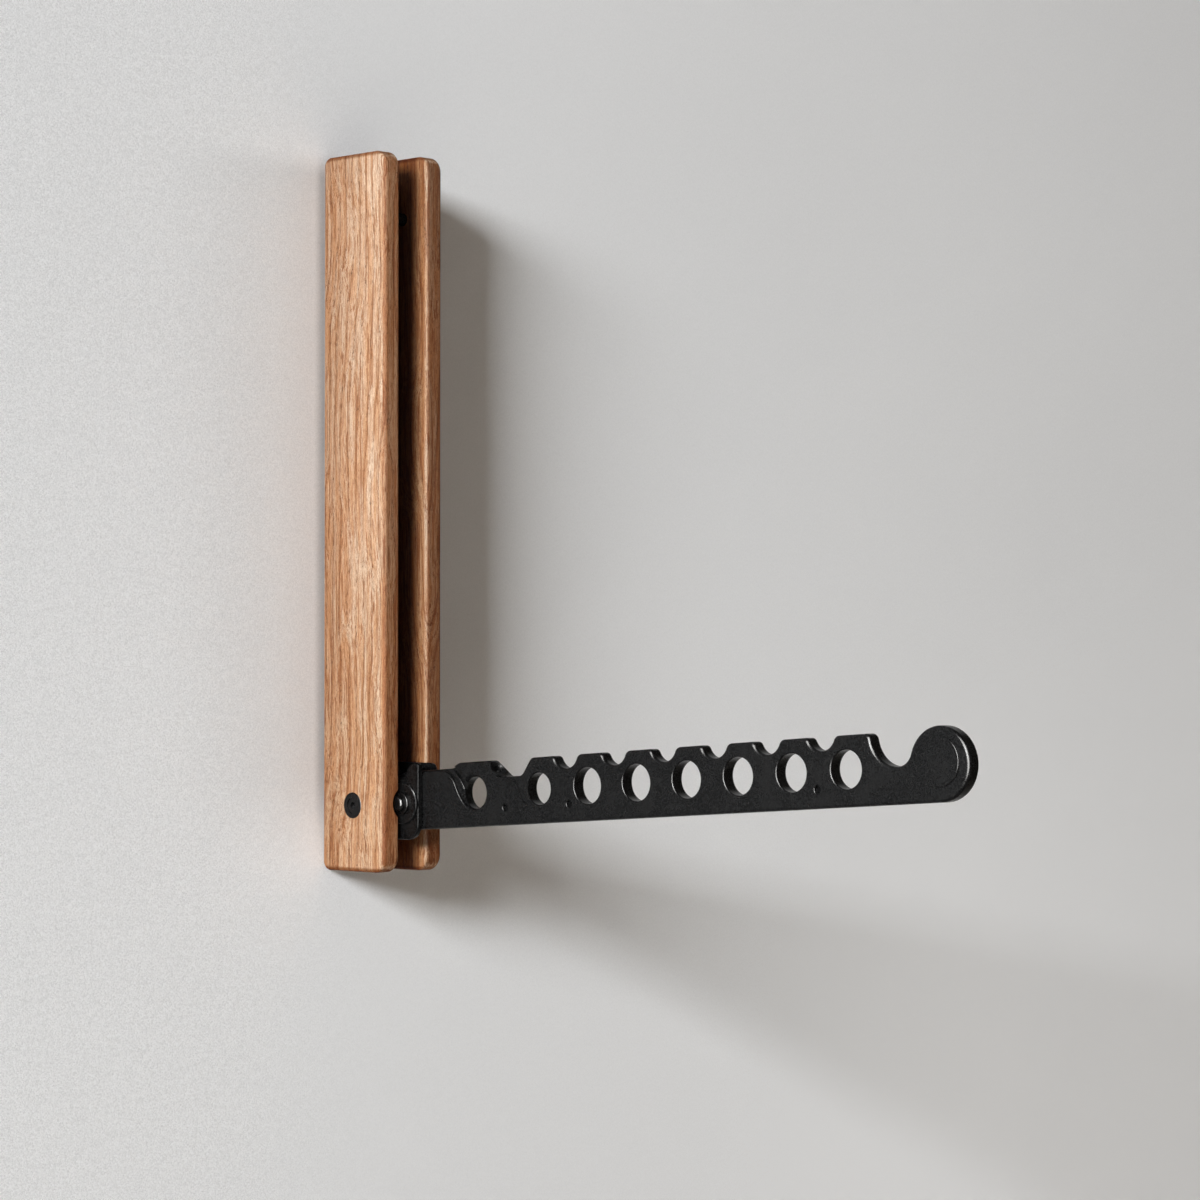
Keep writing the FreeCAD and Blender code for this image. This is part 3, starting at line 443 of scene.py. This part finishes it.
def paintedGlossShade(tree, look, hollows, frontEdge):
    # painted shade: less gloss where it turns up or down, near the wall, in the dimples and on the ears'
    # flat faces
    turnX, _, turnZ = apart(tree, addNode(tree, "ShaderNodeNewGeometry").outputs["Normal"])
    x, y, z = apart(tree, objectPlace(tree))
    gloss = times(tree,
                  ramp(tree, unsigned(tree, turnZ), *glossShadeFades["upright"], 1.0, look["paintedShade"]),
                  ramp(tree, turnZ, *glossShadeFades["under"], 1.0, look["under"]),
                  ramp(tree, y, *glossShadeFades["root"], look["root"], 1.0))
    rimStart, rimFull = (dimples["radius"] + rim for rim in dimples["rim"])
    for middle in hollows:
        away = addNode(tree, "ShaderNodeVectorMath", {0: together(tree, Y=y, Z=z), 1: tuple(middle)},
                       operation="DISTANCE").outputs["Value"]
        inside = times(tree, ramp(tree, away, rimStart, rimFull), ramp(tree, x, *dimples["leftX"]))
        gloss = times(tree, gloss, minus(tree, 1.0, times(tree, inside, dimples["dimpleShade"])))
    if frontEdge is not None:
        # painted shade takes the gloss off the ears' front edges and flat sides, so only the round of the
        # ears' boss catches the light
        edgeStart, edgeFull = (frontEdge + behind for behind in glossShadeFades["front"])
        gloss = times(tree, gloss,
                      ramp(tree, y, edgeStart, edgeFull, 1.0, look["front"]),
                      ramp(tree, unsigned(tree, turnX), *glossShadeFades["side"], 1.0, look["side"]))
    return gloss


def makeMetal(name, look, hollows=(), frontEdge=None):
    metal, tree, shader = startMaterial(name)
    shared = metalGrain
    grit = evenNoise(tree, look["speckle"], *shared["fine"])
    coarse = evenNoise(tree, look["speckle"] * shared["coarseWidth"], *shared["coarse"])
    cloud = evenNoise(tree, *shared["cloud"])
    wave = evenNoise(tree, *shared["wave"])
    speckle = plus(tree, times(tree, grit, shared["fineShare"]), times(tree, coarse, shared["coarseShare"]))
    level = ramp(tree, speckle, *shared["span"], *look["shade"])
    feed(tree, shader.inputs["Base Color"], brighten(tree, look["colour"], level))
    shader.inputs["Metallic"].default_value = look["metallic"]
    shader.inputs["Specular IOR Level"].default_value = look["specular"]
    # painted shade lowers the specular tint in these places
    feed(tree, shader.inputs["Specular Tint"], paintedGlossShade(tree, look, hollows, frontEdge))
    rough = plus(tree,
                 ramp(tree, cloud, *middleSpan, *shared["cloudRough"]),
                 look["roughness"],
                 ramp(tree, grit, *middleSpan, *shared["gritRough"]))
    feed(tree, shader.inputs["Roughness"], rough)
    height = plus(tree, times(tree, grit, look["grit"]), times(tree, wave, look["wave"]))
    feed(tree, shader.inputs["Normal"], bump(tree, height, 1 / perMetre))
    return metal


metalExtras = {
    "arm_coat": {"hollows": dimplePlaces(dimples)},
    "fork_coat": {"frontEdge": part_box("hinge_clevis")[0].y},
}
for name, look in metals.items():
    metal = makeMetal(name, look, **metalExtras.get(name, {}))
    for node in look["pieces"]:
        dress(node, metal)
print("metal pieces are finished")


# black plastic of the thin washers

plasticLook = {
    "colour": (0.030, 0.030, 0.031),
    "cloud": 2.5,                       # millimetres across
    "level": (0.80, 1.20),
    "roughness": 0.45,
    "relief": 0.00001,                  # metres
}


def makePlastic(name, look):
    plastic, tree, shader = startMaterial(name)
    cloud = evenNoise(tree, look["cloud"])
    level = ramp(tree, cloud, *middleSpan, *look["level"])
    feed(tree, shader.inputs["Base Color"], brighten(tree, look["colour"], level))
    shader.inputs["Roughness"].default_value = look["roughness"]
    feed(tree, shader.inputs["Normal"], bump(tree, cloud, look["relief"]))
    return plastic


dress("friction_washers", makePlastic("washer_plastic", plasticLook))
print("plastic washers are finished")


# wall and floor

room = {
    "wallColour": (0.898, 0.896, 0.894),
    "wallSideLight": (0.985, 1.085),        # painted light: the paint's level at half a metre left and right
    "wallLowLight": (0.000, 0.085),          # painted light: how much lighter it is low down, near and far to the right
    "wallRelief": 0.000035,             # metres
    "wallPlane": 0.00035,               # a hair behind the valet's back
    "wallReach": 7.0,
    "openInset": (0.0012, 0.006),       # how far the opening behind the valet stays inside its back
    "screwHeight": 0.090,               # the wall is closed behind the two screw holes
    "screwPatch": 0.0023,
    "floorColour": (0.640, 0.590, 0.530),
    "floorSides": (1.0, 1.0),
    "floorRelief": 0.00003,
    "floorDrop": 1.25,
    "floorSize": (1.8, 2.4),
}

paintLook = {
    "patch": (500, 3),                  # millimetres across and detail of the noise
    "stipple": (0.60, 2, 0.85),         # and its roughness
    "roller": (5.5, 2),
    "patchLevel": (0.985, 1.015),
    "stippleLevel": 0.98,
    "stippleFade": (-0.10, 0.03, 1.0, 0.22),    # the stipple is weaker to the right, as relief and as the painted shade of that relief in the colour
    "rollerHeight": 0.9,
    "sidesX": (-0.5, 0.5),
    "lowZ": (0.05, -0.35),
    "farX": (0.10, 0.50),
    "roughness": 0.85,
    "specular": 0.0,
}

# a painted shadow darkens the paint left of the valet's back, more so close to it
paintedShadowBand = {
    "headZ": (0.004, -0.010),           # metres above the valet's head
    "footZ": (-0.006, 0.050),           # and above its foot
    "leftX": (0.002, -0.016),
    "steps": (                          # metres left of its side, and how dark the painted shadow gets
        (0.110, -0.010, 0.0, 0.180),
        (0.034, 0.000, 0.0, 0.075),
        (0.006, 0.000, 0.0, 0.26),
    ),
}


def paintedShadowLevel(tree, x, z, side, foot, head):
    beside = minus(tree, side, x)
    paintedShade = plus(tree, *[ramp(tree, beside, *step) for step in paintedShadowBand["steps"]])
    headStart, headFull = (head + above for above in paintedShadowBand["headZ"])
    footStart, footFull = (foot + above for above in paintedShadowBand["footZ"])
    reach = times(tree, ramp(tree, z, headStart, headFull), ramp(tree, z, footStart, footFull),
                  ramp(tree, x, *paintedShadowBand["leftX"]))
    return minus(tree, 1.0, times(tree, paintedShade, reach))


def makePaint(name, colour, sides, relief, low=(0.0, 0.0), valetBack=None):
    # a paint that is only there when it is met from its front
    paint, tree, shader = startMaterial(name)
    look = paintLook
    x, _, z = apart(tree, objectPlace(tree))
    patch = evenNoise(tree, *look["patch"])
    stipple = evenNoise(tree, *look["stipple"])
    roller = evenNoise(tree, *look["roller"])
    fade = ramp(tree, x, *look["stippleFade"])
    # painted shade of the stipple's relief, as light and dark specks in the colour
    grit = times(tree, minus(tree, stipple, noiseMiddle), look["stippleLevel"], fade)
    # painted light, lifting the paint low down and far to the right
    paintedLowLight = times(tree, ramp(tree, z, *look["lowZ"]), ramp(tree, x, *look["farX"], *low))
    # painted light in the paint's level from left to right
    level = times(tree,
                  ramp(tree, patch, *middleSpan, *look["patchLevel"]),
                  ramp(tree, x, *look["sidesX"], *sides),
                  plus(tree, paintedLowLight, 1.0),
                  plus(tree, grit, 1.0))
    # painted shadow on the wall beside the valet
    if valetBack:
        level = times(tree, level, paintedShadowLevel(tree, x, z, *valetBack))
    height = plus(tree, times(tree, stipple, fade), times(tree, roller, look["rollerHeight"]))
    feed(tree, shader.inputs["Base Color"], brighten(tree, colour, level))
    feed(tree, shader.inputs["Normal"], bump(tree, height, relief))
    shader.inputs["Roughness"].default_value = look["roughness"]
    shader.inputs["Specular IOR Level"].default_value = look["specular"]
    behind = addNode(tree, "ShaderNodeNewGeometry").outputs["Backfacing"]
    clear = addNode(tree, "ShaderNodeBsdfTransparent").outputs["BSDF"]
    mixed = addNode(tree, "ShaderNodeMixShader", {0: behind, 1: shader.outputs["BSDF"], 2: clear})
    feed(tree, tree.nodes["Material Output"].inputs["Surface"], mixed.outputs[0])
    return paint


def makePanel(name, corners, faces, material):
    # a flat panel whose front looks the way its corners turn
    mesh = bpy.data.meshes.new(name)
    mesh.from_pydata(corners, [], faces)
    panel = bpy.data.objects.new(name, mesh)
    bpy.context.scene.collection.objects.link(panel)
    panel.data.materials.append(material)


def makeWall(look):
    # one wall in cells, left open behind the cheeks and the spine for the view from behind
    low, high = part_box("left_cheek")[0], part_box("right_cheek")[1]
    spineFoot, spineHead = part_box("hinge_clevis")[0].z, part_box("back_spine")[1].z
    insetX, insetZ = look["openInset"]
    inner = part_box("right_cheek")[0].x + insetX
    reach, screw, patch = look["wallReach"], look["screwHeight"], look["screwPatch"]
    xs = [-reach, low.x + insetX, -inner, -patch, patch, inner, high.x - insetX, reach]
    zs = [-look["floorDrop"], low.z + insetZ, spineFoot, -screw - patch, -screw + patch,
          screw - patch, screw + patch, spineHead, high.z - insetZ, reach]
    cheekColumns, spineColumns, screwColumn = (1, 5), (2, 3, 4), 3
    cheekRows, spineRows, screwRows = range(1, 8), range(2, 7), (3, 5)
    faces = []
    for row in range(len(zs) - 1):
        for column in range(len(xs) - 1):
            behindCheek = column in cheekColumns and row in cheekRows
            behindScrew = column == screwColumn and row in screwRows
            behindSpine = column in spineColumns and row in spineRows and not behindScrew
            if not behindCheek and not behindSpine:
                first = row * len(xs) + column
                faces.append((first, first + 1, first + 1 + len(xs), first + len(xs)))
    paint = makePaint("wall_paint", look["wallColour"], look["wallSideLight"], look["wallRelief"],
                      look["wallLowLight"], (low.x, low.z, high.z))
    makePanel("wall", [(x, look["wallPlane"], z) for z in zs for x in xs], faces, paint)


def makeFloor(look):
    side, depth = look["floorSize"]
    drop = -look["floorDrop"]
    corners = [(-side, -depth, drop), (side, -depth, drop), (side, 0.0, drop), (-side, 0.0, drop)]
    paint = makePaint("floor_paint", look["floorColour"], look["floorSides"], look["floorRelief"])
    makePanel("floor", corners, [(0, 1, 2, 3)], paint)


makeWall(room)
makeFloor(room)
print("wall and floor are built")


# light

lamps = {
    "window": {
        "place": (-4.60, -1.77, 1.41), "aim": (0.9, -0.05, -0.05), "size": (1.90, 1.20),
        "power": 396.0, "colour": (0.93, 0.965, 1.0), "glossOnly": False,
    },
    "window_glow": {                    # the pale room round the window, met only as a gloss
        "place": (-4.6, -2.60, 1.2), "aim": (0, 0, 0), "size": (4.4, 7.0),
        "power": 4400.0, "colour": (1.0, 0.985, 0.96), "glossOnly": True,
    },
    "behind": {
        "place": (-1.2, 2.6, 0.8), "aim": (0, 0, 0), "size": (1.6, 1.6),
        "power": 60.0, "colour": (1, 1, 1), "glossOnly": False,
    },
}

sky = {
    "colour": (1.0, 0.82, 0.64, 1),
    "level": 0.089,
    "seen": (0.62, 0.62, 0.61, 1),      # what the camera meets where no wall stands
}


def makeLamp(name, look):
    data = bpy.data.lights.new(name, "AREA")
    data.shape = "RECTANGLE"
    data.size, data.size_y = look["size"]
    data.energy = look["power"]
    data.color = look["colour"]
    lamp = bpy.data.objects.new(name, data)
    bpy.context.scene.collection.objects.link(lamp)
    lamp.location = look["place"]
    lamp.rotation_mode = "QUATERNION"
    lamp.rotation_quaternion = (Vector(look["aim"]) - Vector(look["place"])).to_track_quat("-Z", "Y")
    lamp.visible_diffuse = not look["glossOnly"]


def makeSky(look):
    world = bpy.data.worlds.new("sky")
    bpy.context.scene.world = world
    world.use_nodes = True
    tree = world.node_tree
    light = tree.nodes["Background"]
    light.inputs["Color"].default_value = look["colour"]
    light.inputs["Strength"].default_value = look["level"]
    seen = addNode(tree, "ShaderNodeBackground", {"Color": look["seen"], "Strength": 1.0})
    path = addNode(tree, "ShaderNodeLightPath").outputs["Is Camera Ray"]
    mixed = addNode(tree, "ShaderNodeMixShader", {0: path, 1: light.outputs[0], 2: seen.outputs[0]})
    feed(tree, tree.nodes["World Output"].inputs["Surface"], mixed.outputs[0])


for name, look in lamps.items():
    makeLamp(name, look)
makeSky(sky)
print("room is lit")
